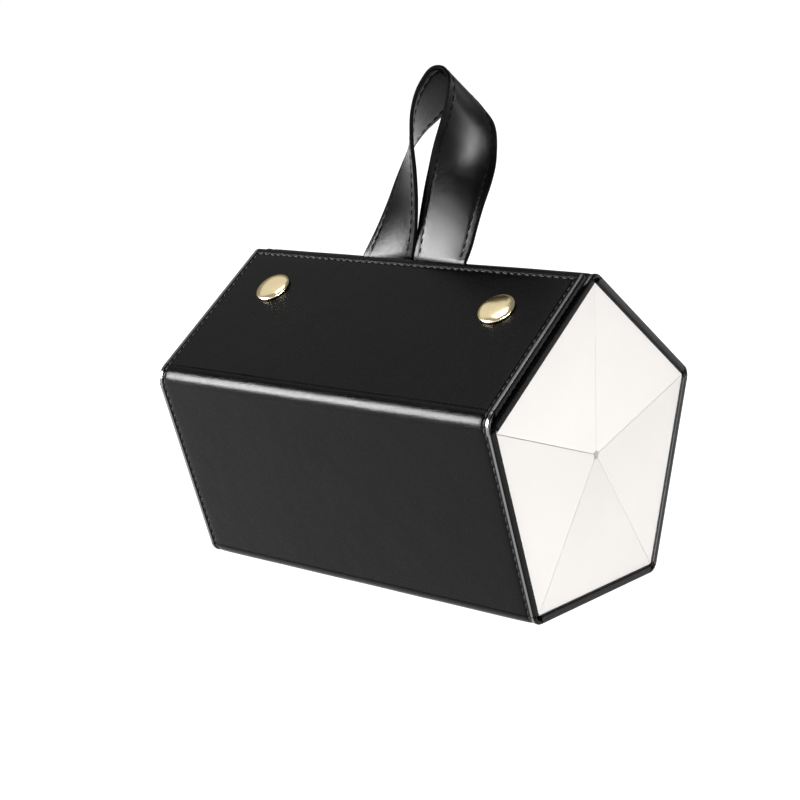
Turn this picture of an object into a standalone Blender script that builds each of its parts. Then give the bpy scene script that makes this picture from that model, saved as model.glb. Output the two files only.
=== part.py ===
"""Roll-up spectacle organiser: five three-sided boxes that close into a five-sided prism.

Metres, +X along the length, -Y the front, +Z up; the origin is the centre of the underside.
Each box is drawn in its own side frame: x along the prism, u along the box's outer side and
v inward from that side. Sizes below are millimetres and are divided by 1000 where they are used.
"""

import math

import bmesh
import bpy
from mathutils import Matrix, Vector

for old in list(bpy.data.objects):
    bpy.data.objects.remove(old, do_unlink=True)

# ---- driving dimensions, millimetres ------------------------------------------------
LENGTH = 168.6          # over the leather panels
SIDE = 81.8             # sharp-cornered side of the five-sided prism
T_PANEL = 3.4           # leather-covered board
R_CORNER = 5.0          # outer radius of the leather bends between boxes
T_BEND = 2.1            # leather and lining at a bend
WALL = 1.8              # inner wall and lid board
END_WALL = 1.6          # white triangular end
END_INSET = 0.8         # the white end lies this far inside the leather rim
CLEAR = 0.25            # each box's clearance to the plane it shares with the next
TIP_CUT = 1.6           # blunt tip at the middle
GAP = 0.3               # between pieces that touch

FLAP_GAP = 1.5          # room for the snaps and the sewn strap ends
T_FLAP = 2.4
R_FLAP = 7.0            # outer radius of the bend at the front eaves
T_FLAP_BEND = 2.2
FLAP_SHORT = 5.5        # the flap's free edge stops this far from the ridge
FLAP_HALF = 83.8        # half the flap's length along X
FLAP_ROUND = 1.5        # its free corners

SNAP_X = 57.0
SNAP_FROM_RIDGE = 28.0
R_CAP = 7.4
R_SHANK, R_HOLE = 1.7, 2.1

STRAP_WIDTH = 26.0
T_STRAP = 1.7
STRAP_PIVOT = (3.0, 1.6)        # down from the ridge and out from the front roof, where it swings
LEG_X = (-13.2, 13.2)           # middle of each sewn strap end
STRAP_SEWN = 20.0               # length sewn down under the flap

LID_FOOT, LID_TOP = 5.4, 58.1   # along the lid's own plane, from the outer corner
LIP_FOOT, LIP_IN, LIP_OUT = 46.5, 3.7, 5.3
MAGNET = (48.5, 54.5, 8.0)      # from, to along the lid's plane, and half length along X

# ---- derived ------------------------------------------------------------------------
MM = 0.001
STEP, HALF = math.radians(72), math.radians(36)
TAN36, SIN54, COS54 = math.tan(HALF), math.cos(HALF), math.sin(HALF)
R_IN = SIDE / 2 / TAN36
FLAT = SIDE / 2 - R_CORNER * TAN36
PANEL_U = FLAT - 0.9 * GAP
X_END = LENGTH / 2 - END_INSET
X_IN = X_END - END_WALL
BOTTOM, REAR_LOW, REAR_ROOF, FRONT_ROOF, FRONT_LOW = range(5)
BOXES = ("bottom", "rear_low", "rear_roof", "front_roof", "front_low")

group = bpy.data.collections.new("roll_up_spectacle_organiser")
cutters = bpy.data.collections.new("cutters")
for collection in (group, cutters):
    bpy.context.scene.collection.children.link(collection)


def material(name, colour, rough, metal=0.0):
    m = bpy.data.materials.new(name)
    m.use_nodes = True
    node = m.node_tree.nodes["Principled BSDF"]
    node.inputs["Base Color"].default_value = (*colour, 1)
    node.inputs["Roughness"].default_value = rough
    node.inputs["Metallic"].default_value = metal
    return m


LEATHER = material("leather", (0.035, 0.035, 0.037), 0.5)
STRAP = material("strap_leather", (0.02, 0.02, 0.022), 0.35)
LINING = material("white_lining", (0.92, 0.91, 0.89), 0.8)
VELVET = material("velvet_pad", (0.12, 0.12, 0.13), 0.9)
GOLD = material("gold_snap", (0.85, 0.72, 0.42), 0.22, 1.0)
STEEL = material("steel", (0.6, 0.6, 0.62), 0.35, 1.0)


# ---- placing ------------------------------------------------------------------------
def side_frame(k):
    """The side frame of box k: the bottom side turned k times 72 degrees about the middle."""
    middle = Matrix.Translation((0, 0, R_IN * MM))
    return middle @ Matrix.Rotation(k * STEP, 4, "X") @ middle.inverted()


def pivot(name, k, u, v, parent=None):
    """An empty on a joint's axis; it keeps the turn of its side."""
    empty = bpy.data.objects.new(f"pivot_{name}", None)
    group.objects.link(empty)
    empty.parent = parent
    world = side_frame(k) @ Matrix.Translation((0, u * MM, v * MM))
    empty.matrix_world = world
    if parent:
        bpy.context.view_layer.update()
        empty.matrix_parent_inverse = parent.matrix_world.inverted()
        empty.matrix_basis = world
    bpy.context.view_layer.update()
    return empty


def put(name, mesh, k, local, parent, paint, where=None):
    """A mesh drawn in a local frame of side k, parented to its joint's empty."""
    obj = bpy.data.objects.new(name, mesh)
    (where or group).objects.link(obj)
    if paint:
        mesh.materials.append(paint)
    world = side_frame(k) @ local
    if parent:
        obj.parent = parent
        obj.matrix_parent_inverse = parent.matrix_world.inverted()
    obj.matrix_basis = world
    return obj


ALONG_X = Matrix(((0, 0, 1, 0), (1, 0, 0, 0), (0, 1, 0, 0), (0, 0, 0, 1)))  # draws in (u, v)
FLAT_XU = Matrix.Identity(4)                                                # draws in (x, u)


# ---- shapes -------------------------------------------------------------------------
def outline(name, k, loops, low, high, frame, parent, paint, where=None):
    """Flat outlines (the later ones are holes) extruded from low to high, as a clean mesh."""
    curve = bpy.data.curves.new(name, "CURVE")
    curve.dimensions = "2D"
    curve.fill_mode = "BOTH"
    curve.extrude = (high - low) / 2 * MM
    for points in loops:
        spline = curve.splines.new("POLY")
        spline.points.add(len(points) - 1)
        for p, (a, b) in zip(spline.points, points):
            p.co = (a * MM, b * MM, 0, 1)
        spline.use_cyclic_u = True
    drawn = bpy.data.objects.new(name + "_curve", curve)
    bpy.context.scene.collection.objects.link(drawn)
    bpy.context.view_layer.update()
    mesh = bpy.data.meshes.new_from_object(drawn.evaluated_get(bpy.context.evaluated_depsgraph_get()))
    mesh.name = name
    bpy.data.objects.remove(drawn, do_unlink=True)
    bm = bmesh.new()
    bm.from_mesh(mesh)
    bmesh.ops.remove_doubles(bm, verts=bm.verts, dist=1e-6)
    bmesh.ops.recalc_face_normals(bm, faces=bm.faces)
    bmesh.ops.translate(bm, verts=bm.verts, vec=(0, 0, (low + high) / 2 * MM))
    bm.to_mesh(mesh)
    bm.free()
    return put(name, mesh, k, frame, parent, paint, where)


def run(name, k, points, half, parent, paint, where=None):
    """A (u, v) section run along X, the same length both ways."""
    return outline(name, k, [points], -half, half, ALONG_X, parent, paint, where)


def block(name, k, size, centre, parent, paint):
    """A box of size (x, u, v) about a centre in side k's frame."""
    bm = bmesh.new()
    bmesh.ops.create_cube(bm, size=1, matrix=Matrix.Diagonal((*(Vector(size) * MM), 1)))
    mesh = bpy.data.meshes.new(name)
    bm.to_mesh(mesh)
    bm.free()
    return put(name, mesh, k, Matrix.Translation(Vector(centre) * MM), parent, paint)


def turned(name, k, x, u, profile, closed, parent, paint, steps=36):
    """A profile of (radius, height) turned about an axis that points out of side k."""
    mesh = bpy.data.meshes.new(name)
    edges = [(i, i + 1) for i in range(len(profile) - 1)] + ([(len(profile) - 1, 0)] if closed else [])
    mesh.from_pydata([(r * MM, 0, h * MM) for r, h in profile], edges, [])
    outward = Matrix.Translation((x * MM, u * MM, 0)) @ Matrix.Rotation(math.pi, 4, "X")
    obj = put(name, mesh, k, outward, parent, paint)
    screw = obj.modifiers.new("turn", "SCREW")
    screw.steps = screw.render_steps = steps
    screw.use_merge_vertices = True
    screw.merge_threshold = 1e-6
    screw.use_smooth_shade = True
    return obj


def cut(obj, cutter):
    cutter.hide_render = True
    cutter.display_type = "WIRE"
    mod = obj.modifiers.new("cut", "BOOLEAN")
    mod.operation = "DIFFERENCE"
    mod.solver = "EXACT"
    mod.object = cutter


def soften(obj, width, segments=2):
    mod = obj.modifiers.new("soften", "BEVEL")
    mod.width = width * MM
    mod.segments = segments
    mod.limit_method = "ANGLE"
    mod.angle_limit = math.radians(40)


def lid_plane(s, o):
    """(u, v) of a point s along the box's +u boundary plane from the outer corner, o inside it."""
    return (SIDE / 2 - COS54 * s - SIN54 * o, SIN54 * s - COS54 * o)


def half_width(v, inset):
    return (R_IN - v) * TAN36 - inset / SIN54


def strip(s0, s1, o0, o1):
    return [lid_plane(s0, o0), lid_plane(s1, o0), lid_plane(s1, o1), lid_plane(s0, o1)]


def arc(cu, cv, r, start, end, steps=8):
    turn = [math.radians(start + (end - start) * i / steps) for i in range(steps + 1)]
    return [(cu + r * math.cos(t), cv + r * math.sin(t)) for t in turn]


def bend(cu, cv, r, thick):
    """Section of a leather bend from one side to the next, 72 degrees on."""
    return arc(cu, cv, r, -90, -18) + arc(cu, cv, r - thick, -18, -90)


# ---- joint axes: the living hinges lie in the leather's outer skin ---------------------
SKIN = R_CORNER * (1 / SIN54 - 1)        # from the sharp corner in to the rounded skin
HINGE = (SIDE / 2 - SKIN * COS54, SKIN * SIN54)
root = pivot("bottom", BOTTOM, 0, 0)
pivots = {BOTTOM: root}
pivots[FRONT_LOW] = pivot("front_low", FRONT_LOW, *HINGE, root)
pivots[REAR_LOW] = pivot("rear_low", BOTTOM, *HINGE, root)
pivots[REAR_ROOF] = pivot("rear_roof", REAR_LOW, *HINGE, pivots[REAR_LOW])
pivots[FRONT_ROOF] = pivot("front_roof", REAR_ROOF, *HINGE, pivots[REAR_ROOF])

# ---- the five boxes -----------------------------------------------------------------
FLOOR, ROOF_V, BLUNT = T_PANEL + 0.15, 45.2, R_IN - TIP_CUT
NOSE = LID_TOP + 0.4

for k, box in enumerate(BOXES):
    here = pivots[k]
    section = [(-PANEL_U, 0), (PANEL_U, 0), (PANEL_U, T_PANEL), (-PANEL_U, T_PANEL)]
    if k == FRONT_LOW:  # runs on up to the flap's bend, bevelled along the plane it shares
        tangent = (FLAP_GAP + T_FLAP) / math.sin(STEP) - R_FLAP * TAN36
        section[0] = (-SIDE / 2 - tangent + 0.9 * GAP, 0)
        section[3] = (-SIDE / 2 + T_PANEL * TAN36 + 0.45, T_PANEL)
    soften(run(f"panel_{box}", k, section, LENGTH / 2, here, LEATHER), 0.5)

    low, top = half_width(FLOOR, CLEAR), half_width(BLUNT, CLEAR)
    tray = run(f"tray_{box}", k, [(-low, FLOOR), (low, FLOOR), (top, BLUNT), (-top, BLUNT)],
               X_END, here, LINING)
    hollow = [(-half_width(-1, CLEAR + WALL), -1), (-half_width(ROOF_V, CLEAR + WALL), ROOF_V),
              lid_plane((ROOF_V + COS54 * LIP_OUT) / SIN54, LIP_OUT), lid_plane(LIP_FOOT, LIP_OUT),
              lid_plane(LIP_FOOT, LIP_IN), lid_plane(NOSE, LIP_IN), lid_plane(NOSE, -4),
              lid_plane(-4, -4)]
    cut(tray, run(f"hollow_{box}", k, hollow, X_IN, here, None, cutters))

    lid_pivot = pivot(f"lid_{box}", k, *lid_plane(LID_FOOT, CLEAR), here)
    inner = CLEAR + WALL
    lid = strip(LID_FOOT, LID_TOP, CLEAR, inner)
    lid[3] = lid_plane(LID_FOOT + WALL * COS54 / SIN54, inner)
    soften(run(f"lid_{box}", k, lid, X_IN - 0.4, lid_pivot, LINING), 0.3)
    run(f"magnet_{box}", k, strip(*MAGNET[:2], inner + GAP, LIP_IN - GAP), MAGNET[2], lid_pivot, STEEL)
    run(f"keeper_{box}", k, strip(*MAGNET[:2], LIP_OUT + GAP, LIP_OUT + GAP + 0.9), MAGNET[2], here, STEEL)
    pad = block(f"pad_{box}", k, (158, 62, 1), (0, 0, T_PANEL + GAP + 0.5), here, VELVET)
    soften(pad, 0.35)

# ---- leather bends between neighbours ------------------------------------------------
for k, name in ((BOTTOM, "bottom_rear"), (REAR_LOW, "rear_eaves"), (REAR_ROOF, "ridge"),
                (FRONT_LOW, "front_bottom")):
    run(f"bend_{name}", k, bend(FLAT, R_CORNER, R_CORNER, T_BEND), LENGTH / 2, pivots[k], LEATHER)

# ---- flap over the front roof box ------------------------------------------------------
FLAP_OUT = -FLAP_GAP - T_FLAP
corner_u = SIDE / 2 + FLAP_OUT / math.tan(STEP)
bend_u, bend_v = corner_u - R_FLAP * TAN36, FLAP_OUT + R_FLAP
skin = R_FLAP * (1 / SIN54 - 1)
flap_pivot = pivot("flap", FRONT_ROOF, corner_u - skin * COS54, FLAP_OUT + skin * SIN54,
                   pivots[FRONT_LOW])
run("flap_bend", FRONT_ROOF, bend(bend_u, bend_v, R_FLAP, T_FLAP_BEND), FLAP_HALF, flap_pivot, LEATHER)

free_u, foot_u, snap_u = -SIDE / 2 + FLAP_SHORT, bend_u - 0.9 * GAP, -SIDE / 2 + SNAP_FROM_RIDGE
inner_x = FLAP_HALF - FLAP_ROUND
edge = ([(-FLAP_HALF, foot_u)] + arc(-inner_x, free_u + FLAP_ROUND, FLAP_ROUND, 180, 270)
        + arc(inner_x, free_u + FLAP_ROUND, FLAP_ROUND, 270, 360) + [(FLAP_HALF, foot_u)])
holes = [arc(x, snap_u, R_HOLE, 0, 345, 23) for x in (-SNAP_X, SNAP_X)]
flap = outline("flap_panel", FRONT_ROOF, [edge] + holes, FLAP_OUT, -FLAP_GAP, FLAT_XU, flap_pivot, LEATHER)
soften(flap, 0.6)

# heights are outward from the front roof side
seat = -FLAP_OUT + GAP
CAP = ((0, seat + 2.5), (R_CAP - 4.6, seat + 2.4), (R_CAP - 2.3, seat + 2.0), (R_CAP - 0.8, seat + 1.4),
       (R_CAP, seat + 0.8), (R_CAP, seat + 0.4), (R_CAP - 0.4, seat), (R_SHANK, seat),
       (R_SHANK, FLAP_GAP + 0.05), (0, FLAP_GAP + 0.05))
SOCKET = ((5.6, 1.25), (5.6, 0.6), (3.6, 0.6), (3.6, 1.25))
STUD = ((0, 1.25), (1.2, 1.25), (2.1, 1.15), (2.4, 0.85), (2.2, 0.45), (5.2, 0.45), (5.2, 0.2), (0, 0.2))
for x, hand in ((-SNAP_X, "left"), (SNAP_X, "right")):
    turned(f"snap_cap_{hand}", FRONT_ROOF, x, snap_u, CAP, False, flap_pivot, GOLD)
    turned(f"snap_socket_{hand}", FRONT_ROOF, x, snap_u, SOCKET, True, flap_pivot, GOLD)
    turned(f"snap_stud_{hand}", FRONT_ROOF, x, snap_u, STUD, False, pivots[FRONT_ROOF], GOLD)

# ---- carrying strap ----------------------------------------------------------------------
for x, hand in zip(LEG_X, ("left", "right")):
    block(f"strap_end_{hand}", FRONT_ROOF, (STRAP_WIDTH, STRAP_SEWN, FLAP_GAP - 2 * GAP),
          (x, -SIDE / 2 + STRAP_PIVOT[0] + 1.6 + STRAP_SEWN / 2, -FLAP_GAP / 2), pivots[FRONT_ROOF], STRAP)

# (x, y, height over the pivot) of the strap's middle and the direction across it, left foot to right
COURSE = (
    ((-13.2, -3.4, 0.0), (1.00, 0.00, 0.00)),
    ((-9.9, -1.7, 11.0), (0.98, -0.22, 0.04)),
    ((-7.4, -0.4, 22.2), (0.91, -0.41, 0.09)),
    ((-5.6, 0.5, 33.3), (0.81, -0.57, 0.15)),
    ((-3.9, 1.4, 43.9), (0.65, -0.72, 0.23)),
    ((-1.2, 3.1, 53.1), (0.45, -0.83, 0.33)),
    ((2.3, 5.5, 60.0), (0.26, -0.87, 0.42)),
    ((5.4, 7.7, 65.0), (0.18, -0.87, 0.46)),
    ((8.0, 9.1, 67.9), (0.15, -0.87, 0.47)),
    ((11.0, 9.8, 68.6), (0.14, -0.86, 0.48)),
    ((14.5, 9.7, 67.5), (0.13, -0.86, 0.49)),
    ((18.1, 9.2, 63.5), (0.05, -0.88, 0.46)),
    ((20.4, 9.0, 56.1), (-0.23, -0.88, 0.41)),
    ((19.9, 7.5, 45.9), (-0.52, -0.74, 0.42)),
    ((18.0, 5.4, 34.9), (-0.83, -0.43, 0.37)),
    ((16.1, 2.8, 24.4), (-0.94, -0.24, 0.24)),
    ((15.0, 0.4, 15.1), (-0.98, -0.15, 0.14)),
    ((14.3, -1.6, 7.1), (-0.99, -0.08, 0.07)),
    ((13.2, -3.4, 0.0), (-1.00, 0.00, 0.00)),
)


def between(points, i, t):
    p = [points[max(0, min(len(points) - 1, i + j))] for j in (-1, 0, 1, 2)]
    return 0.5 * (2 * p[1] + (p[2] - p[0]) * t + (2 * p[0] - 5 * p[1] + 4 * p[2] - p[3]) * t**2
                  + (3 * p[1] - p[0] - 3 * p[2] + p[3]) * t**3)


def ribbon(name, course, lift, parent, paint, steps=4, foot=0.8):
    """A flat strap lofted through turning sections; its two feet are thinned to swing freely."""
    mids = [Vector((x, y, height + lift)) for (x, y, height), _ in course]
    acrosses = [Vector(a).normalized() for _, a in course]
    stations = [(i, j / steps) for i in range(len(course) - 1) for j in range(steps)]
    stations.append((len(course) - 2, 1.0))
    middle = [between(mids, i, t) for i, t in stations]
    across = [between(acrosses, i, t).normalized() for i, t in stations]
    down = Vector((0, 0, foot))
    middle = [middle[0] - down] + middle + [middle[-1] - down]
    across = [across[0]] + across + [across[-1]]
    bm = bmesh.new()
    rings = []
    last = len(middle) - 1
    for i, (m, a) in enumerate(zip(middle, across)):
        normal = a.cross(middle[min(i + 1, last)] - middle[max(i - 1, 0)]).normalized()
        thick = T_STRAP / 2 if 0 < i < last else 0.5
        rings.append([bm.verts.new((m + a * s * STRAP_WIDTH / 2 + normal * q * thick) * MM)
                      for s, q in ((-1, -1), (1, -1), (1, 1), (-1, 1))])
    for one, two in zip(rings, rings[1:]):
        for j in range(4):
            bm.faces.new((one[j], one[(j + 1) % 4], two[(j + 1) % 4], two[j]))
    bm.faces.new(reversed(rings[0]))
    bm.faces.new(rings[-1])
    bmesh.ops.recalc_face_normals(bm, faces=bm.faces)
    mesh = bpy.data.meshes.new(name)
    bm.to_mesh(mesh)
    bm.free()
    return put(name, mesh, BOTTOM, Matrix.Identity(4), parent, paint)


handle_pivot = pivot("handle", FRONT_ROOF, -SIDE / 2 + STRAP_PIVOT[0], -STRAP_PIVOT[1], pivots[FRONT_ROOF])
ribbon("handle_strap", COURSE, handle_pivot.matrix_world.translation.z / MM, handle_pivot, STRAP)
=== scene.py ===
"""Looks for the roll-up spectacle organiser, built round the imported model."""

import math

import bmesh
import bpy
import numpy as np
from mathutils import Matrix, Vector


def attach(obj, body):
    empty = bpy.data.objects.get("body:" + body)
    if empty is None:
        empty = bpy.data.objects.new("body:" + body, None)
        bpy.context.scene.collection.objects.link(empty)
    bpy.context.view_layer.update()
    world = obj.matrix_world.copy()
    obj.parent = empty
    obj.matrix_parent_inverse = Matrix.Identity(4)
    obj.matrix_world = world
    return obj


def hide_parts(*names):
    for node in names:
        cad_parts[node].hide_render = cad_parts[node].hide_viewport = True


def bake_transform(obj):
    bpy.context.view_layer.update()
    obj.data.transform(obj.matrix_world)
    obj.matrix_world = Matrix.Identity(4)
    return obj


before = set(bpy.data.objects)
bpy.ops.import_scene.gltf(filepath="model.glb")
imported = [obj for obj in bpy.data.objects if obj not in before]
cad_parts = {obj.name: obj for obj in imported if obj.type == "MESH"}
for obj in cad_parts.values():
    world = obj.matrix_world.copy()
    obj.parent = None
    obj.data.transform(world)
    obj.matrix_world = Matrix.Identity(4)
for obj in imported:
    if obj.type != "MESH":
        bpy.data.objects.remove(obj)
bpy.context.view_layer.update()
scene = bpy.context.scene

# ---- sizes, metres (the same design values as the model's) ---------------------------
MM = 0.001
LENGTH, SIDE = 168.6 * MM, 81.8 * MM
T_PANEL, R_CORNER, T_BEND = 3.4 * MM, 5 * MM, 2.1 * MM
FLAP_GAP, T_FLAP, R_FLAP = 1.5 * MM, 2.4 * MM, 7 * MM
FLAP_SHORT, FLAP_HALF, FLAP_ROUND = 5.5 * MM, 83.8 * MM, 1.5 * MM
SNAP_X, SNAP_U, R_CAP = 57 * MM, 28 * MM - SIDE / 2, 7.4 * MM
CLEAR, GAP = 0.25 * MM, 0.3 * MM
HALF, STEP = math.radians(36), math.radians(72)
TAN36, SIN54, COS54 = math.tan(HALF), math.cos(HALF), math.sin(HALF)
R_IN = SIDE / 2 / TAN36
FLAT = SIDE / 2 - R_CORNER * TAN36
BOXES = ("bottom", "rear_low", "rear_roof", "front_roof", "front_low")
BOTTOM, REAR_LOW, REAR_ROOF, FRONT_ROOF, FRONT_LOW = range(5)


def at(k, x, u, v):
    """Side frame k to the world: x along, u along the side, v inward."""
    y, z = u, v - R_IN
    c, s = math.cos(k * STEP), math.sin(k * STEP)
    return Vector((x, y * c - z * s, y * s + z * c + R_IN))


def side_uv(k, point):
    """A world point's (u, v) in side frame k."""
    y, z = point.y, point.z - R_IN
    c, s = math.cos(k * STEP), math.sin(k * STEP)
    return y * c + z * s, z * c - y * s + R_IN


def turn(k, du, dv):
    """A direction in side frame k to the world."""
    c, s = math.cos(k * STEP), math.sin(k * STEP)
    return Vector((0, du * c - dv * s, du * s + dv * c))


# radiance of the floor, the world and the soft boxes
FLOOR_GLOW, AMBIENT = 1.1, 0.22
LEFT_GLOW, RIGHT_GLOW, TOP_GLOW, FILL_GLOW, REAR_GLOW = 74.0, 12.0, 0.52, 2.4, 1.6
RIGHT_GLINT, CAP_GLINT = 44.0, 3.2


# ---- materials ------------------------------------------------------------------------
class Nodes:
    """A short way to wire a node tree."""

    def __init__(self, name):
        self.material = bpy.data.materials.new(name)
        self.material.use_nodes = True
        self.tree = self.material.node_tree
        self.bsdf = self.tree.nodes["Principled BSDF"]
        self.where = self.add("ShaderNodeTexCoord").outputs["Object"]

    def add(self, kind, **values):
        node = self.tree.nodes.new(kind)
        for key, value in values.items():
            if key in node.inputs:
                node.inputs[key].default_value = value
            else:
                setattr(node, key, value)
        return node

    def link(self, a, b):
        self.tree.links.new(a, b)

    def noise(self, scale, detail=2.0, rough=0.5, where=None):
        node = self.add("ShaderNodeTexNoise", Scale=scale, Detail=detail, Roughness=rough)
        self.link(where or self.where, node.inputs["Vector"])
        return node.outputs["Fac"]

    def cells(self, scale, feature="F1", where=None):
        node = self.add("ShaderNodeTexVoronoi", feature=feature, Scale=scale)
        self.link(where or self.where, node.inputs["Vector"])
        return node.outputs["Distance"]

    def ramp(self, source, stops):
        node = self.add("ShaderNodeValToRGB")
        ramp = node.color_ramp
        while len(ramp.elements) < len(stops):
            ramp.elements.new(0.5)
        for element, (place, colour) in zip(ramp.elements, stops):
            element.position = place
            element.color = (*colour, 1) if len(colour) == 3 else colour
        self.link(source, node.inputs["Fac"])
        return node.outputs["Color"]

    def grey(self, source, low, high, a=0.0, b=1.0):
        node = self.add("ShaderNodeMapRange")
        for key, value in (("From Min", a), ("From Max", b), ("To Min", low), ("To Max", high)):
            node.inputs[key].default_value = value
        self.link(source, node.inputs["Value"])
        return node.outputs["Result"]

    def math(self, operation, a, b):
        node = self.add("ShaderNodeMath", operation=operation)
        for slot, value in zip(node.inputs, (a, b)):
            if isinstance(value, (int, float)):
                slot.default_value = value
            else:
                self.link(value, slot)
        return node.outputs[0]

    def bump(self, height, distance, strength=1.0, under=None):
        node = self.add("ShaderNodeBump", Distance=distance, Strength=strength)
        self.link(height, node.inputs["Height"])
        if under:
            self.link(under, node.inputs["Normal"])
        self.link(node.outputs["Normal"], self.bsdf.inputs["Normal"])
        return node.outputs["Normal"]

    def set(self, **values):
        for key, value in values.items():
            socket = self.bsdf.inputs[key.replace("_", " ")]
            if isinstance(value, bpy.types.NodeSocket):
                self.link(value, socket)
            else:
                socket.default_value = value
        return self


def leather(name, dark, light, rough, grain=1900.0, depth=0.00012, wear=0.05, gloss=0.22):
    """Fine pebbled synthetic leather: small domed cells, soft creases and faint cloudy wear."""
    n = Nodes(name)
    cloud = n.noise(38, 4, 0.6)
    warp = n.add("ShaderNodeVectorMath", operation="MULTIPLY_ADD")
    n.link(n.add("ShaderNodeTexNoise", Scale=500.0, Detail=2.0).outputs["Color"], warp.inputs[0])
    warp.inputs[1].default_value = (0.0006, 0.0006, 0.0006)
    n.link(n.where, warp.inputs[2])
    cell = n.cells(grain, "SMOOTH_F1", warp.outputs[0])
    fine = n.noise(grain * 2.4, 3, 0.6)
    tone = n.math("MULTIPLY", cloud, 0.75)
    mix = n.math("ADD", tone, n.grey(cell, 0.0, 0.22))
    n.set(Base_Color=n.ramp(mix, ((0.25, dark), (0.75, light))))
    # a bend's stretched leather is smoother than the flat leather beside it
    polish = n.add("ShaderNodeAttribute", attribute_name="polish").outputs["Fac"]
    base = n.math("ADD", n.grey(cloud, rough - wear, rough + wear), n.grey(polish, 0.0, -0.13))
    mottle = n.grey(n.noise(1500, 2, 0.6), -0.035, 0.035, 0.3, 0.7)
    n.set(Roughness=n.math("ADD", base, n.math("ADD", mottle, n.grey(cell, -0.03, 0.05))))
    low = n.bump(n.noise(70, 2, 0.5), 0.0006, 0.35)
    mid = n.bump(n.grey(cell, 1.0, 0.0, 0.0, 0.9), depth, 1.0, low)
    n.bump(fine, depth * 0.25, 0.6, mid)
    n.set(Specular_IOR_Level=gloss)
    return n.material


def cloth(name, dark, light, rough=0.85, threads=2600.0, depth=0.00008, sheen=0.2, gloss=0.5):
    """Woven cloth or wound thread: threads along the three axes, with faint blotches."""
    n = Nodes(name)
    n.set(Specular_IOR_Level=gloss)
    waves = []
    for axis in ("X", "Y", "Z"):
        wave = n.add("ShaderNodeTexWave", wave_type="BANDS", bands_direction=axis, Scale=threads / 6.283,
                     Distortion=1.2, Detail=1.0)
        n.link(n.where, wave.inputs["Vector"])
        waves.append(wave.outputs["Fac"])
    weave = n.math("MAXIMUM", n.math("MAXIMUM", waves[0], waves[1]), waves[2])
    blotch = n.noise(24, 3, 0.55)
    n.set(Base_Color=n.ramp(n.math("ADD", n.grey(blotch, 0.0, 0.7), n.grey(weave, 0.0, 0.3)),
                            ((0.2, dark), (0.8, light))))
    n.set(Roughness=n.grey(blotch, rough - 0.05, rough + 0.05), Sheen_Weight=sheen, Sheen_Roughness=0.5)
    under = n.bump(n.noise(90, 2), 0.0004, 0.25)
    n.bump(weave, depth, 0.8, under)
    return n.material


def metal(name, colour, rough, scratch=0.0):
    n = Nodes(name)
    haze = n.noise(160, 4, 0.6)
    n.set(Base_Color=n.ramp(haze, ((0.3, tuple(0.94 * c for c in colour)), (0.7, colour))))
    n.set(Metallic=1.0, Roughness=n.grey(haze, max(0.02, rough - 0.03), rough + 0.04))
    if scratch:
        n.bump(n.noise(3200, 2), 0.00002, scratch)
    return n.material


def pile(name, dark, light):
    """Short velvet pile."""
    n = Nodes(name)
    hair = n.noise(5200, 3, 0.7)
    lie = n.noise(60, 3, 0.6)
    n.set(Base_Color=n.ramp(n.math("ADD", n.grey(hair, 0.0, 0.5), n.grey(lie, 0.0, 0.5)),
                            ((0.25, dark), (0.8, light))))
    n.set(Roughness=0.95, Sheen_Weight=0.6, Sheen_Roughness=0.35)
    n.bump(hair, 0.00025, 0.9, n.bump(lie, 0.0006, 0.3))
    return n.material


BLACK = (0.0010, 0.0010, 0.0011), (0.0022, 0.0022, 0.0023)
DEEP_BLACK = (0.0008, 0.0008, 0.0009), (0.0016, 0.0016, 0.0017)
LEATHER = leather("black_leather", (0.0008, 0.0008, 0.0009), (0.0018, 0.0018, 0.0019), 0.28,
                  depth=0.000035, gloss=0.105)
STRAP = leather("strap_leather", *DEEP_BLACK, 0.19, 2400.0, 0.000045, 0.03, 0.115)
MATT = leather("painted_edge", *DEEP_BLACK, 0.7, depth=0.00002, gloss=0.02)
BEAD = leather("bead_leather", *BLACK, 0.22, depth=0.00002, gloss=1.0)
BEAD.node_tree.nodes["Principled BSDF"].inputs["IOR"].default_value = 1.85
STRAP_THREAD = cloth("strap_thread", (0.0008, 0.0008, 0.0008), (0.002, 0.002, 0.002), 0.8, 9000.0,
                     0.00004, 0.0, 0.04)
THREAD = cloth("black_thread", (0.003, 0.003, 0.003), (0.007, 0.007, 0.007), 0.6, 9000.0, 0.00004, 0.0, 0.3)
LINING = cloth("off_white_lining", (0.72, 0.695, 0.67), (0.775, 0.75, 0.724), 0.8, 3000.0, 0.00003, 0.05)
VELVET = pile("grey_velvet", (0.010, 0.010, 0.011), (0.045, 0.045, 0.048))
GOLD = metal("pale_gold", (1.0, 0.83, 0.50), 0.18)
STEEL = metal("nickel_steel", (0.62, 0.61, 0.59), 0.3, 0.3)


# ---- mesh helpers ---------------------------------------------------------------------
def new(name, verts, faces, paint, smooth=40.0, second=None):
    mesh = bpy.data.meshes.new(name)
    mesh.from_pydata([tuple(v) for v in verts], [], faces)
    mesh.materials.append(paint)
    if second:
        mesh.materials.append(second[0])
        for i in second[1]:
            mesh.polygons[i].material_index = 1
    bm = bmesh.new()
    bm.from_mesh(mesh)
    bmesh.ops.remove_doubles(bm, verts=bm.verts, dist=1e-6)
    bmesh.ops.dissolve_degenerate(bm, edges=bm.edges, dist=1e-7)
    bmesh.ops.recalc_face_normals(bm, faces=bm.faces)
    bm.to_mesh(mesh)
    bm.free()
    mesh.shade_smooth()
    mesh.set_sharp_from_angle(angle=math.radians(smooth))
    obj = bpy.data.objects.new(name, mesh)
    scene.collection.objects.link(obj)
    return obj


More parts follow.
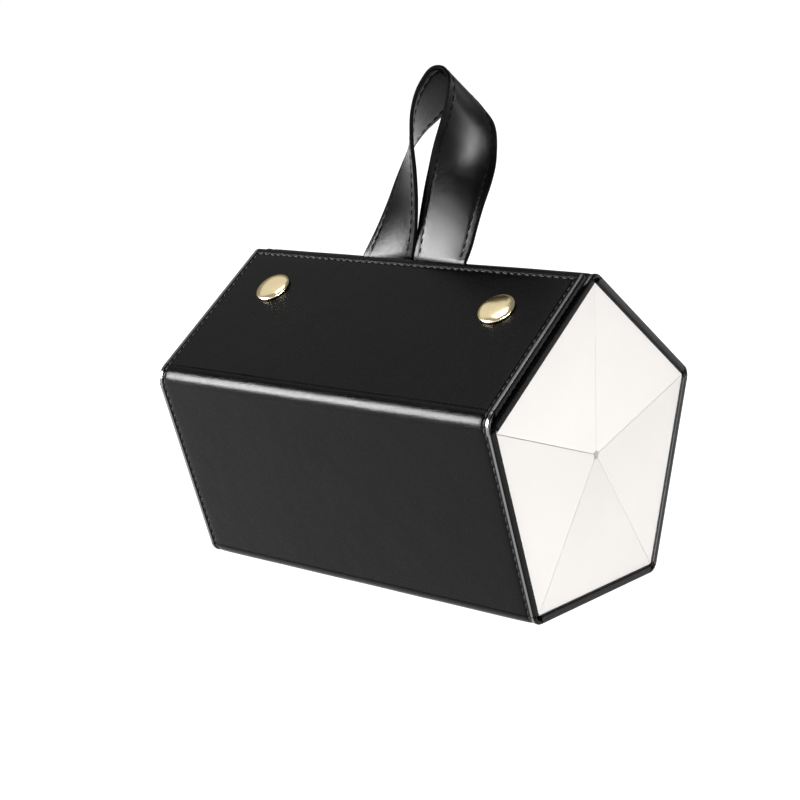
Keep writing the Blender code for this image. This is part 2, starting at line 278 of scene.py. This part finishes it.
def shell(name, outer, inner, paint, smooth=40.0):
    """A closed body between two equal grids of points, outer and inner."""
    rows, cols = len(outer), len(outer[0])
    verts = [p for row in outer for p in row] + [p for row in inner for p in row]
    n = rows * cols
    faces = []
    for i in range(rows - 1):
        for j in range(cols - 1):
            a = i * cols + j
            quad = (a, a + 1, a + cols + 1, a + cols)
            faces.append(quad)
            faces.append(tuple(n + q for q in reversed(quad)))
    rim = [j for j in range(cols)] + [i * cols + cols - 1 for i in range(1, rows)]
    rim += [(rows - 1) * cols + j for j in range(cols - 2, -1, -1)]
    rim += [i * cols for i in range(rows - 2, 0, -1)]
    for a, b in zip(rim, rim[1:] + rim[:1]):
        faces.append((a, b, b + n, a + n))
    return new(name, verts, faces, paint, smooth)


# height of the skin at a distance from a stitched edge: a rolled rim, a sewn groove, then the face
RIM = ((0.0, -0.6), (0.15, -0.28), (0.35, -0.11), (0.65, -0.02), (1.1, 0.0), (1.6, -0.03), (2.0, -0.1),
       (2.35, -0.26), (2.6, -0.42), (2.85, -0.5), (3.1, -0.46), (3.4, -0.28), (3.8, -0.14), (4.6, -0.06),
       (6.5, -0.02), (9.0, 0.0))
RIM_D = [d * MM for d, _ in RIM]
SEAM = 2.85 * MM


def rim(d):
    return float(np.interp(d, RIM_D, [h for _, h in RIM])) * MM


def spread(half, step=7 * MM):
    """Distances from one end to the other: close at the rims, even in the middle."""
    middle = np.linspace(RIM_D[-1], 2 * half - RIM_D[-1], max(2, int((2 * half - 2 * RIM_D[-1]) / step)))
    return [-half + d for d in (*RIM_D[:-1], *middle, *[2 * half - r for r in reversed(RIM_D[:-1])])]


def ripple(x, s):
    """Faint waviness of leather over board."""
    return 0.05 * MM * (math.sin(x * 61 + 1.3) * math.sin(s * 83 + 0.4) + 0.6 * math.sin(x * 143 + s * 97))


def beaded(obj, half):
    """Gives the narrow strip between each end and its seam a glossier leather."""
    obj.data.materials.append(BEAD)
    for face in obj.data.polygons:
        far = half - abs(face.center.x)
        if 0.5 * MM < far < 1.6 * MM and face.area < 30 * MM**2:
            face.material_index = 1
    return obj


def polished(obj, k, cu, cv):
    """A bend's leather is stretched smooth: glossiest half way round the corner."""
    mesh = obj.data
    values = []
    for vert in mesh.vertices:
        u, v = side_uv(k, vert.co)
        share = (math.degrees(math.atan2(v - cv, u - cu)) + 90) / 72
        values.append(math.sin(math.pi * min(max(share, 0.0), 1.0)) ** 0.7)
    mesh.attributes.new("polish", "FLOAT", "POINT").data.foreach_set("value", values)
    return obj


def skin(name, path, half, thick, paint=LEATHER):
    """Leather over a path of (point, outward normal, place along the wrap), rolled at both ends of X."""
    xs = spread(half)
    outer, inner = [], []
    for point, normal, s in path:
        row_out, row_in = [], []
        for x in xs:
            d = half - abs(x)
            here = Vector((x, point[1], point[2]))
            row_out.append(here + normal * (rim(d) + ripple(x, s) * min(1, d / (8 * MM)) - 0.05 * MM))
            row_in.append(here - normal * (thick - max(0.0, 0.5 * MM - d)))
        outer.append(row_out)
        inner.append(row_in)
    return beaded(shell(name, outer, inner, paint), half)


def side_path(k, us, v=0.0):
    return [(at(k, 0, u, v), turn(k, 0, -1), k * SIDE + u) for u in us]


def arc_path(k, cu, cv, r, steps=12, margin=0.8 * MM):
    """Round the corner at the +u end of side k, with a flat margin on each side."""
    path = []
    for i in range(-1, steps + 2):
        t = math.radians(-90 + 72 * min(max(i, 0), steps) / steps)
        normal = Vector((math.cos(t), math.sin(t)))
        tangent = Vector((-normal.y, normal.x)) * (margin if i > steps else -margin if i < 0 else 0)
        spot = Vector((cu, cv)) + normal * r + tangent
        s = k * SIDE + cu + r * math.radians(72) * min(max(i, 0), steps) / steps + (
            margin if i > steps else -margin if i < 0 else 0)
        path.append((at(k, 0, spot.x, spot.y), turn(k, normal.x, normal.y), s))
    return path


def stitches(name, seams, pitch=3.4 * MM, length=2.5 * MM, radius=0.34 * MM, paint=THREAD):
    """Rows of thread: each seam is a list of (point, outward normal) along its path."""
    verts, faces = [], []
    ring, sections = 6, ((-0.5, 0.25), (-0.38, 0.8), (-0.15, 1.0), (0.15, 1.0), (0.38, 0.8), (0.5, 0.25))
    for seam in seams:
        points = [p for p, _ in seam]
        run = np.concatenate([[0], np.cumsum([(b - a).length for a, b in zip(points, points[1:])])])
        count = max(1, int(round(run[-1] / pitch)))
        for i in range(count):
            middle = (i + 0.5) * run[-1] / count
            j = min(int(np.searchsorted(run, middle, side="right")) - 1, len(points) - 2)
            share = (middle - run[j]) / max(1e-9, run[j + 1] - run[j])
            spot = points[j].lerp(points[j + 1], share)
            normal = seam[j][1].lerp(seam[j + 1][1], share).normalized()
            along = (points[j + 1] - points[j]).normalized()
            across = along.cross(normal).normalized()
            along = (along + across * 0.10).normalized()
            base = len(verts)
            for where, fat in sections:
                dip = -0.16 * MM * (abs(where) / 0.5) ** 2
                for q in range(ring):
                    t = 2 * math.pi * q / ring
                    verts.append(spot + along * (where * length) + normal * (dip + radius * fat
                                 * math.sin(t) * 0.8) + across * (radius * fat * math.cos(t)))
            for c in range(len(sections) - 1):
                for q in range(ring):
                    a, b = base + c * ring + q, base + c * ring + (q + 1) % ring
                    faces.append((a, b, b + ring, a + ring))
            faces.append(tuple(base + q for q in reversed(range(ring))))
            faces.append(tuple(base + (len(sections) - 1) * ring + q for q in range(ring)))
    return new(name, verts, faces, paint, 80)


def seam_pair(path, half):
    """The two seams that run along a path beside the ends of X."""
    return [[(Vector((sign * (half - SEAM), p.y, p.z)) + n * rim(SEAM), n) for p, n, _ in path]
            for sign in (-1, 1)]


def body(k):
    return BOXES[k] + "_box"


# ---- leather: panels and the bends that join them ---------------------------------------
FLAP_OUT = FLAP_GAP + T_FLAP
corner_u = SIDE / 2 - FLAP_OUT / math.tan(STEP)
bend_u, bend_v = corner_u - R_FLAP * TAN36, R_FLAP - FLAP_OUT
TOP_U = -SIDE / 2 - FLAP_OUT / math.sin(STEP) + R_FLAP * TAN36

for k, box in enumerate(BOXES):
    low = TOP_U if k == FRONT_LOW else -FLAT
    count = 12
    us = [low + (FLAT - low) * i / count for i in range(count + 1)]
    us = [us[0], us[0] + 0.8 * MM] + us[1:-1] + [us[-1] - 0.8 * MM, us[-1]]
    path = side_path(k, us)
    piece = skin(f"leather_{box}", path, LENGTH / 2, T_PANEL - 0.1 * MM)
    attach(piece, body(k))
    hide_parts(f"panel_{box}")
    thread = stitches(f"stitches_{box}", seam_pair(path, LENGTH / 2))
    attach(thread, body(k))

for k, after, node in ((BOTTOM, REAR_LOW, "bend_bottom_rear"), (REAR_LOW, REAR_ROOF, "bend_rear_eaves"),
                       (REAR_ROOF, FRONT_ROOF, "bend_ridge"), (FRONT_LOW, BOTTOM, "bend_front_bottom")):
    path = arc_path(k, FLAT, R_CORNER, R_CORNER)
    first, last = path[1][0], path[-2][0]
    piece = skin(f"leather_{node}", path, LENGTH / 2, T_BEND - 0.3 * MM)
    thread = stitches(f"stitches_{node}", seam_pair(path, LENGTH / 2))
    for obj in (piece, thread):
        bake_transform(obj)
    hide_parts(node)

# ---- the flap and its bend -----------------------------------------------------------------
path = arc_path(FRONT_ROOF, bend_u, bend_v, R_FLAP, 16)
# the front-low panel is at the far end of this arc and the flap is at the near end
first, last = path[-2][0], path[1][0]
piece = skin("leather_flap_bend", path, FLAP_HALF, 1.1 * MM)
polished(piece, FRONT_ROOF, bend_u, bend_v)
thread = stitches("stitches_flap_bend", seam_pair(path, FLAP_HALF))
for obj in (piece, thread):
    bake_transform(obj)
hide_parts("flap_bend")

free_u = -SIDE / 2 + FLAP_SHORT


def rounded(x, u):
    """Bends the square free corners of the flap's grid into round ones."""
    cx, cu = FLAP_HALF - FLAP_ROUND, free_u + FLAP_ROUND
    a, b = (abs(x) - cx) / FLAP_ROUND, (cu - u) / FLAP_ROUND
    if a > 0 and b > 0:
        a, b = a * math.sqrt(1 - b * b / 2), b * math.sqrt(1 - a * a / 2)
    return (math.copysign(cx + a * FLAP_ROUND, x) if a > 0 else x, cu - b * FLAP_ROUND if b > 0 else u)


def flap_edge(x, u):
    """Distance from the flap's three free edges."""
    cx, cu = FLAP_HALF - FLAP_ROUND, free_u + FLAP_ROUND
    a, b = abs(x) - cx, cu - u
    if a > 0 and b > 0:
        return FLAP_ROUND - math.hypot(a, b)
    return min(FLAP_HALF - abs(x), u - free_u)


xs = spread(FLAP_HALF)
us = [free_u + d for d in RIM_D[:-1]] + list(np.linspace(free_u + RIM_D[-1], bend_u - 0.8 * MM, 9)) + [bend_u]
outer, inner = [], []
for u in us:
    row_out, row_in = [], []
    for x in xs:
        rx, ru = rounded(x, u)
        d = max(0.0, flap_edge(rx, ru))
        s = FRONT_ROOF * SIDE + ru
        lift = rim(d) + ripple(rx, s) * min(1, d / (8 * MM)) - 0.05 * MM
        row_out.append(at(FRONT_ROOF, rx, ru, -FLAP_OUT - lift))
        row_in.append(at(FRONT_ROOF, rx, ru, -FLAP_GAP - 0.1 * MM - max(0.0, 0.5 * MM - d)))
    outer.append(row_out)
    inner.append(row_in)
flap = beaded(shell("leather_flap", outer, inner, LEATHER), FLAP_HALF)
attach(flap, "flap")
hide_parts("flap_panel")

out = turn(FRONT_ROOF, 0, -1)
seam_v = -FLAP_OUT - rim(SEAM)
side_seams = [[(at(FRONT_ROOF, sign * (FLAP_HALF - SEAM), u, seam_v), out) for u in (free_u + SEAM, bend_u)]
              for sign in (-1, 1)]
top_seam = [[(at(FRONT_ROOF, x, free_u + SEAM, seam_v), out) for x in (-FLAP_HALF + SEAM, FLAP_HALF - SEAM)]]
thread = stitches("stitches_flap", side_seams + top_seam)
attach(thread, "flap")


# ---- snaps ------------------------------------------------------------------------------------
def turned(name, x, profile, paint, sides=64, closed=False):
    """A (radius, height) profile turned about an axis that points out of the front roof."""
    verts, faces = [], []
    for r, h in profile:
        for i in range(sides):
            t = 2 * math.pi * i / sides
            verts.append(at(FRONT_ROOF, x + r * math.cos(t), SNAP_U + r * math.sin(t), -h))
    count = len(profile)
    for i in range(count if closed else count - 1):
        for j in range(sides):
            a, b = i * sides + j, i * sides + (j + 1) % sides
            c = ((i + 1) % count) * sides
            faces.append((a, b, c + (j + 1) % sides, c + j))
    if not closed:
        faces.append(tuple(range(sides)))
        faces.append(tuple((count - 1) * sides + j for j in reversed(range(sides))))
    return new(name, verts, faces, paint, 50)


seat = FLAP_OUT + 0.02 * MM
dome = [(R_CAP * math.sin(t), seat + 0.8 * MM + 1.3 * MM * math.cos(t))
        for t in [math.radians(a) for a in (2, 12, 22, 32, 42, 52, 62, 71, 79, 85, 90)]]
cap = dome + [(R_CAP, seat + 0.5 * MM), (R_CAP - 0.12 * MM, seat + 0.28 * MM), (R_CAP - 0.5 * MM, seat),
              (1.7 * MM, seat), (1.7 * MM, FLAP_GAP + 0.15 * MM)]
for x, hand in ((-SNAP_X, "left"), (SNAP_X, "right")):
    piece = turned(f"gold_cap_{hand}", x, cap, GOLD)
    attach(piece, "flap")
    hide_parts(f"snap_cap_{hand}")
    for node in (f"snap_socket_{hand}", f"snap_stud_{hand}"):
        mesh = bpy.data.objects[node].data
        mesh.materials.clear()
        mesh.materials.append(GOLD)

# ---- boxes: lined trays, lids, pads, closures ---------------------------------------------------


def eased(node, name, paint, width, body_name, fill=None):
    """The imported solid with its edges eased, for boards covered in cloth.

    fill is a tray's (side, depth): its sloping faces move out by that depth, to close the joints.
    """
    source = bpy.data.objects[node]
    mesh = source.data.copy()
    obj = bpy.data.objects.new(name, mesh)
    scene.collection.objects.link(obj)
    bm = bmesh.new()
    bm.from_mesh(mesh)
    bmesh.ops.remove_doubles(bm, verts=bm.verts, dist=1e-6)
    bmesh.ops.dissolve_limit(bm, angle_limit=math.radians(1), verts=bm.verts, edges=bm.edges)
    if fill:
        k, gap = fill
        for vert in bm.verts:
            u, v = side_uv(k, vert.co)
            if abs(((R_IN - v) * TAN36 - abs(u)) * SIN54 - CLEAR) < 0.02 * MM:
                vert.co += turn(k, math.copysign(SIN54, u), COS54) * gap
    sharp = [e for e in bm.edges if len(e.link_faces) == 2 and e.calc_face_angle() > math.radians(25)]
    bmesh.ops.bevel(bm, geom=sharp, offset=width, segments=3, profile=0.5, affect="EDGES", clamp_overlap=True)
    bmesh.ops.recalc_face_normals(bm, faces=bm.faces)
    bm.to_mesh(mesh)
    bm.free()
    mesh.materials.clear()
    mesh.materials.append(paint)
    mesh.shade_smooth()
    mesh.set_sharp_from_angle(angle=math.radians(35))
    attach(obj, body_name)
    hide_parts(node)
    return obj


for k, box in enumerate(BOXES):
    eased(f"tray_{box}", f"lined_tray_{box}", LINING, 0.12 * MM, body(k),
          (k, (0.08, 0.16, 0.19, 0.16, 0.17)[k] * MM))
    eased(f"lid_{box}", f"lined_lid_{box}", LINING, 0.25 * MM, f"{box}_lid")
    for node in (f"magnet_{box}", f"keeper_{box}"):
        mesh = bpy.data.objects[node].data
        mesh.materials.clear()
        mesh.materials.append(STEEL)

    # soft floor pad, crowned, with a sewn edge
    half_x, half_u, low_v = 79 * MM, 31 * MM, T_PANEL + GAP
    xs = [half_x * math.sin(math.radians(a)) for a in range(-90, 91, 9)]
    us = [half_u * math.sin(math.radians(a)) for a in range(-90, 91, 15)]
    outer, inner = [], []
    for u in us:
        row_out, row_in = [], []
        for x in xs:
            d = min(half_x - abs(x), half_u - abs(u))
            lift = (0.35 + 0.65 * (1 - math.exp(-d / (3 * MM)))) * MM
            row_out.append(at(k, x, u, low_v + lift))
            row_in.append(at(k, x, u, low_v))
        outer.append(row_out)
        inner.append(row_in)
    pad = shell(f"velvet_pad_{box}", outer, inner, VELVET, 50)
    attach(pad, body(k))
    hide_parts(f"pad_{box}")

# ---- carrying strap --------------------------------------------------------------------------------
STRAP_W, T_STRAP = 26 * MM, 1.7 * MM
PIVOT = at(FRONT_ROOF, 0, -SIDE / 2 + 3 * MM, -1.6 * MM)
# (x, y, height over the pivot) in millimetres and the direction across, left foot to right foot,
# rounded from the result of a fit to the strap's two edges; the model's source has the same list
COURSE = (
    ((-13.2, -3.4, 0.0), (1.00, 0.00, 0.00)),
    ((-9.9, -1.7, 11.0), (0.98, -0.22, 0.04)),
    ((-7.4, -0.4, 22.2), (0.91, -0.41, 0.09)),
    ((-5.6, 0.5, 33.3), (0.81, -0.57, 0.15)),
    ((-3.9, 1.4, 43.9), (0.65, -0.72, 0.23)),
    ((-1.2, 3.1, 53.1), (0.45, -0.83, 0.33)),
    ((2.3, 5.5, 60.0), (0.26, -0.87, 0.42)),
    ((5.4, 7.7, 65.0), (0.18, -0.87, 0.46)),
    ((8.0, 9.1, 67.9), (0.15, -0.87, 0.47)),
    ((11.0, 9.8, 68.6), (0.14, -0.86, 0.48)),
    ((14.5, 9.7, 67.5), (0.13, -0.86, 0.49)),
    ((18.1, 9.2, 63.5), (0.05, -0.88, 0.46)),
    ((20.4, 9.0, 56.1), (-0.23, -0.88, 0.41)),
    ((19.9, 7.5, 45.9), (-0.52, -0.74, 0.42)),
    ((18.0, 5.4, 34.9), (-0.83, -0.43, 0.37)),
    ((16.1, 2.8, 24.4), (-0.94, -0.24, 0.24)),
    ((15.0, 0.4, 15.1), (-0.98, -0.15, 0.14)),
    ((14.3, -1.6, 7.1), (-0.99, -0.08, 0.07)),
    ((13.2, -3.4, 0.0), (-1.00, 0.00, 0.00)),
)


def between(points, i, t):
    """A smooth curve's point at share t of the way from points[i] to the next."""
    p = [points[max(0, min(len(points) - 1, i + j))] for j in (-1, 0, 1, 2)]
    return 0.5 * (2 * p[1] + (p[2] - p[0]) * t + (2 * p[0] - 5 * p[1] + 4 * p[2] - p[3]) * t**2
                  + (3 * p[1] - p[0] - 3 * p[2] + p[3]) * t**3)


mids = [Vector((x, y, PIVOT.z / MM + h)) * MM for (x, y, h), _ in COURSE]
acrosses = [Vector(a).normalized() for _, a in COURSE]
FINE = 10
stations = [(i, j / FINE) for i in range(len(COURSE) - 1) for j in range(FINE)] + [(len(COURSE) - 2, 1.0)]
middle = [between(mids, i, t) for i, t in stations]
across = [between(acrosses, i, t).normalized() for i, t in stations]

# each foot runs down behind the flap's edge and lies on the front roof under the flap
FOOT = ((-SIDE / 2 + 2.9 * MM, -1.2 * MM), (-SIDE / 2 + 3.6 * MM, -0.85 * MM),
        (-SIDE / 2 + 4.8 * MM, -0.75 * MM), (-SIDE / 2 + 12 * MM, -0.75 * MM),
        (-SIDE / 2 + 24 * MM, -0.75 * MM))
for end, sign in ((0, 1), (-1, -1)):
    x = middle[end].x
    foot = [at(FRONT_ROOF, x, u, v) for u, v in FOOT]
    way = Vector((sign, 0, 0))
    if end == 0:
        middle = foot[::-1] + middle
        across = [way] * len(foot) + across
    else:
        middle = middle + foot
        across = across + [way] * len(foot)

# section: two bonded layers with rolled edges and a sewn groove beside each edge
EDGE_PROFILE = ((0.0, 0.3), (0.12, 0.72), (0.35, 0.95), (0.8, 1.0), (1.9, 1.0), (2.35, 0.96), (2.7, 0.86),
                (3.0, 0.82), (3.3, 0.87), (3.7, 0.96), (4.4, 1.0), (7.5, 1.02), (12.9, 1.04))
half_section = [(d - STRAP_W / MM / 2, h) for d, h in EDGE_PROFILE]
top = half_section + [(-a, h) for a, h in reversed(half_section[:-1])]
section = top + [(a, -h) for a, h in reversed(top)]
rings = []
last = len(middle) - 1
for i, (m, a) in enumerate(zip(middle, across)):
    ahead = middle[min(i + 1, last)] - middle[max(i - 1, 0)]
    normal = a.cross(ahead).normalized()
    buried = min(i, last - i)
    thick = 0.42 * MM if buried < 3 else 0.42 * MM + (T_STRAP / 2 - 0.42 * MM) * min(1, (buried - 2) / 5)
    rings.append([m + a * (s * MM) + normal * (q * thick) for s, q in section])
count = len(section)
verts = [p for ring in rings for p in ring]
faces = [tuple(range(count)), tuple((len(rings) - 1) * count + j for j in reversed(range(count)))]
edges = []
for i in range(len(rings) - 1):
    for j in range(count):
        a, b = i * count + j, i * count + (j + 1) % count
        if min(abs(section[j][0]), abs(section[(j + 1) % count][0])) > STRAP_W / MM / 2 - 0.5:
            edges.append(len(faces))
        faces.append((a, b, b + count, a + count))
strap = new("carrying_strap", verts, faces, STRAP, 60, (MATT, edges))

seams = []
for face in (1, -1):
    for edge in (-1, 1):
        seam = []
        for i in range(8, len(middle) - 8):
            ahead = middle[i + 1] - middle[i - 1]
            normal = across[i].cross(ahead).normalized() * face
            out_to_seam = across[i] * (edge * (STRAP_W / 2 - 3 * MM)) + normal * (T_STRAP / 2 * 0.84)
            seam.append((middle[i] + out_to_seam, normal))
        seams.append(seam)
strap_thread = stitches("strap_stitches", seams, 3.6 * MM, 2.7 * MM, 0.36 * MM, paint=STRAP_THREAD)
for obj in (strap, strap_thread):
    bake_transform(obj)
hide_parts("handle_strap", "strap_end_left", "strap_end_right")

# ---- stage, light and camera --------------------------------------------------------------------------


def stage_disc(name, rings, paint):
    """A surface turned about Z through (radius, height) rings, first ring at the middle."""
    verts, faces, sides = [], [], 96
    for r, z in rings:
        verts += [(r * math.cos(2 * math.pi * i / sides), r * math.sin(2 * math.pi * i / sides), z)
                  for i in range(sides)]
    for k in range(len(rings) - 1):
        for i in range(sides):
            a, b = k * sides + i, k * sides + (i + 1) % sides
            faces.append((a, b, b + sides, a + sides))
    mesh = bpy.data.meshes.new(name)
    mesh.from_pydata(verts, [], faces)
    mesh.materials.append(paint)
    mesh.shade_smooth()
    obj = bpy.data.objects.new(name, mesh)
    scene.collection.objects.link(obj)
    return obj


n = Nodes("pale_floor")
n.set(Base_Color=(0.25, 0.25, 0.25, 1), Roughness=0.9, Emission_Color=(1, 1, 1, 1),
      Emission_Strength=FLOOR_GLOW)
stage_disc("pale_floor", [(0.001, -0.0002), (5.0, -0.0002)], n.material)
n = Nodes("pale_backdrop")
n.set(Base_Color=(0, 0, 0, 1), Roughness=1.0, Emission_Color=(1, 1, 1, 1), Emission_Strength=1.0)
backdrop = stage_disc("pale_backdrop", [(5.0 * math.cos(math.radians(t)), 5.0 * math.sin(math.radians(t)))
                                        for t in range(0, 90, 6)] + [(0.001, 5.0)], n.material)
backdrop.visible_diffuse = backdrop.visible_glossy = backdrop.visible_shadow = False

world = bpy.data.worlds.new("studio")
world.use_nodes = True
world.node_tree.nodes["Background"].inputs["Color"].default_value = (1, 1, 1, 1)
world.node_tree.nodes["Background"].inputs["Strength"].default_value = AMBIENT
scene.world = world
scene.view_settings.view_transform = "Standard"


def area(name, toward, distance, width, height, radiance, aim=(0, 0, 0.08)):
    """A soft box of that radiance, standing off in a direction and facing the object."""
    data = bpy.data.lights.new(name, "AREA")
    data.shape = "RECTANGLE"
    data.size, data.size_y = width, height
    data.energy = radiance * math.pi * width * height
    obj = bpy.data.objects.new(name, data)
    place = Vector(aim) + Vector(toward).normalized() * distance
    obj.location = place
    obj.rotation_euler = (Vector(aim) - place).to_track_quat("-Z", "Y").to_euler()
    scene.collection.objects.link(obj)
    return obj


area("front_left_box", (-0.60, -0.77, 0.22), 1.1, 0.60, 0.5, LEFT_GLOW).visible_diffuse = False
area("fill_box", (-0.35, -0.60, 0.72), 1.6, 1.0, 1.0, FILL_GLOW).visible_glossy = False
area("right_box", (0.90, -0.36, 0.06), 1.2, 0.32, 0.32, RIGHT_GLOW)
area("right_glint", (0.90, -0.36, 0.10), 1.2, 1.5, 0.26, RIGHT_GLINT).visible_diffuse = False
area("rear_box", (0.42, 0.90, 0.08), 1.4, 1.3, 0.7, REAR_GLOW)
area("cap_glint", (-0.25, -0.25, 0.93), 1.2, 0.42, 0.42, CAP_GLINT).visible_diffuse = False
area("top_box", (-0.60, 0.02, 0.78), 1.4, 0.9, 0.9, TOP_GLOW)

# the fitted viewing angle, in degrees, the point looked at, and the focal length in picture widths
AZIMUTH, ELEVATION, ROLL = 40.285, 11.99, -1.768
TARGET, DISTANCE, FOCAL = Vector((-0.01219, 0, 0.06639)), 0.70618, 1725.6 / 800
SENSOR = 36
camera = bpy.data.cameras.new("camera")
camera.sensor_width = SENSOR
camera.lens = FOCAL * SENSOR
camera.clip_start, camera.clip_end = 0.02, 20
eye = bpy.data.objects.new("camera", camera)
scene.collection.objects.link(eye)
az, el, roll = math.radians(AZIMUTH), math.radians(ELEVATION), math.radians(ROLL)
back = Vector((math.sin(az) * math.cos(el), -math.cos(az) * math.cos(el), math.sin(el)))
right = Vector((math.cos(az), math.sin(az), 0))
up = back.cross(right)
x_axis = right * math.cos(roll) + up * math.sin(roll)
y_axis = -right * math.sin(roll) + up * math.cos(roll)
spin = Matrix((x_axis, y_axis, back)).transposed().to_4x4()
eye.matrix_world = Matrix.Translation(TARGET + back * DISTANCE) @ spin
scene.camera = eye
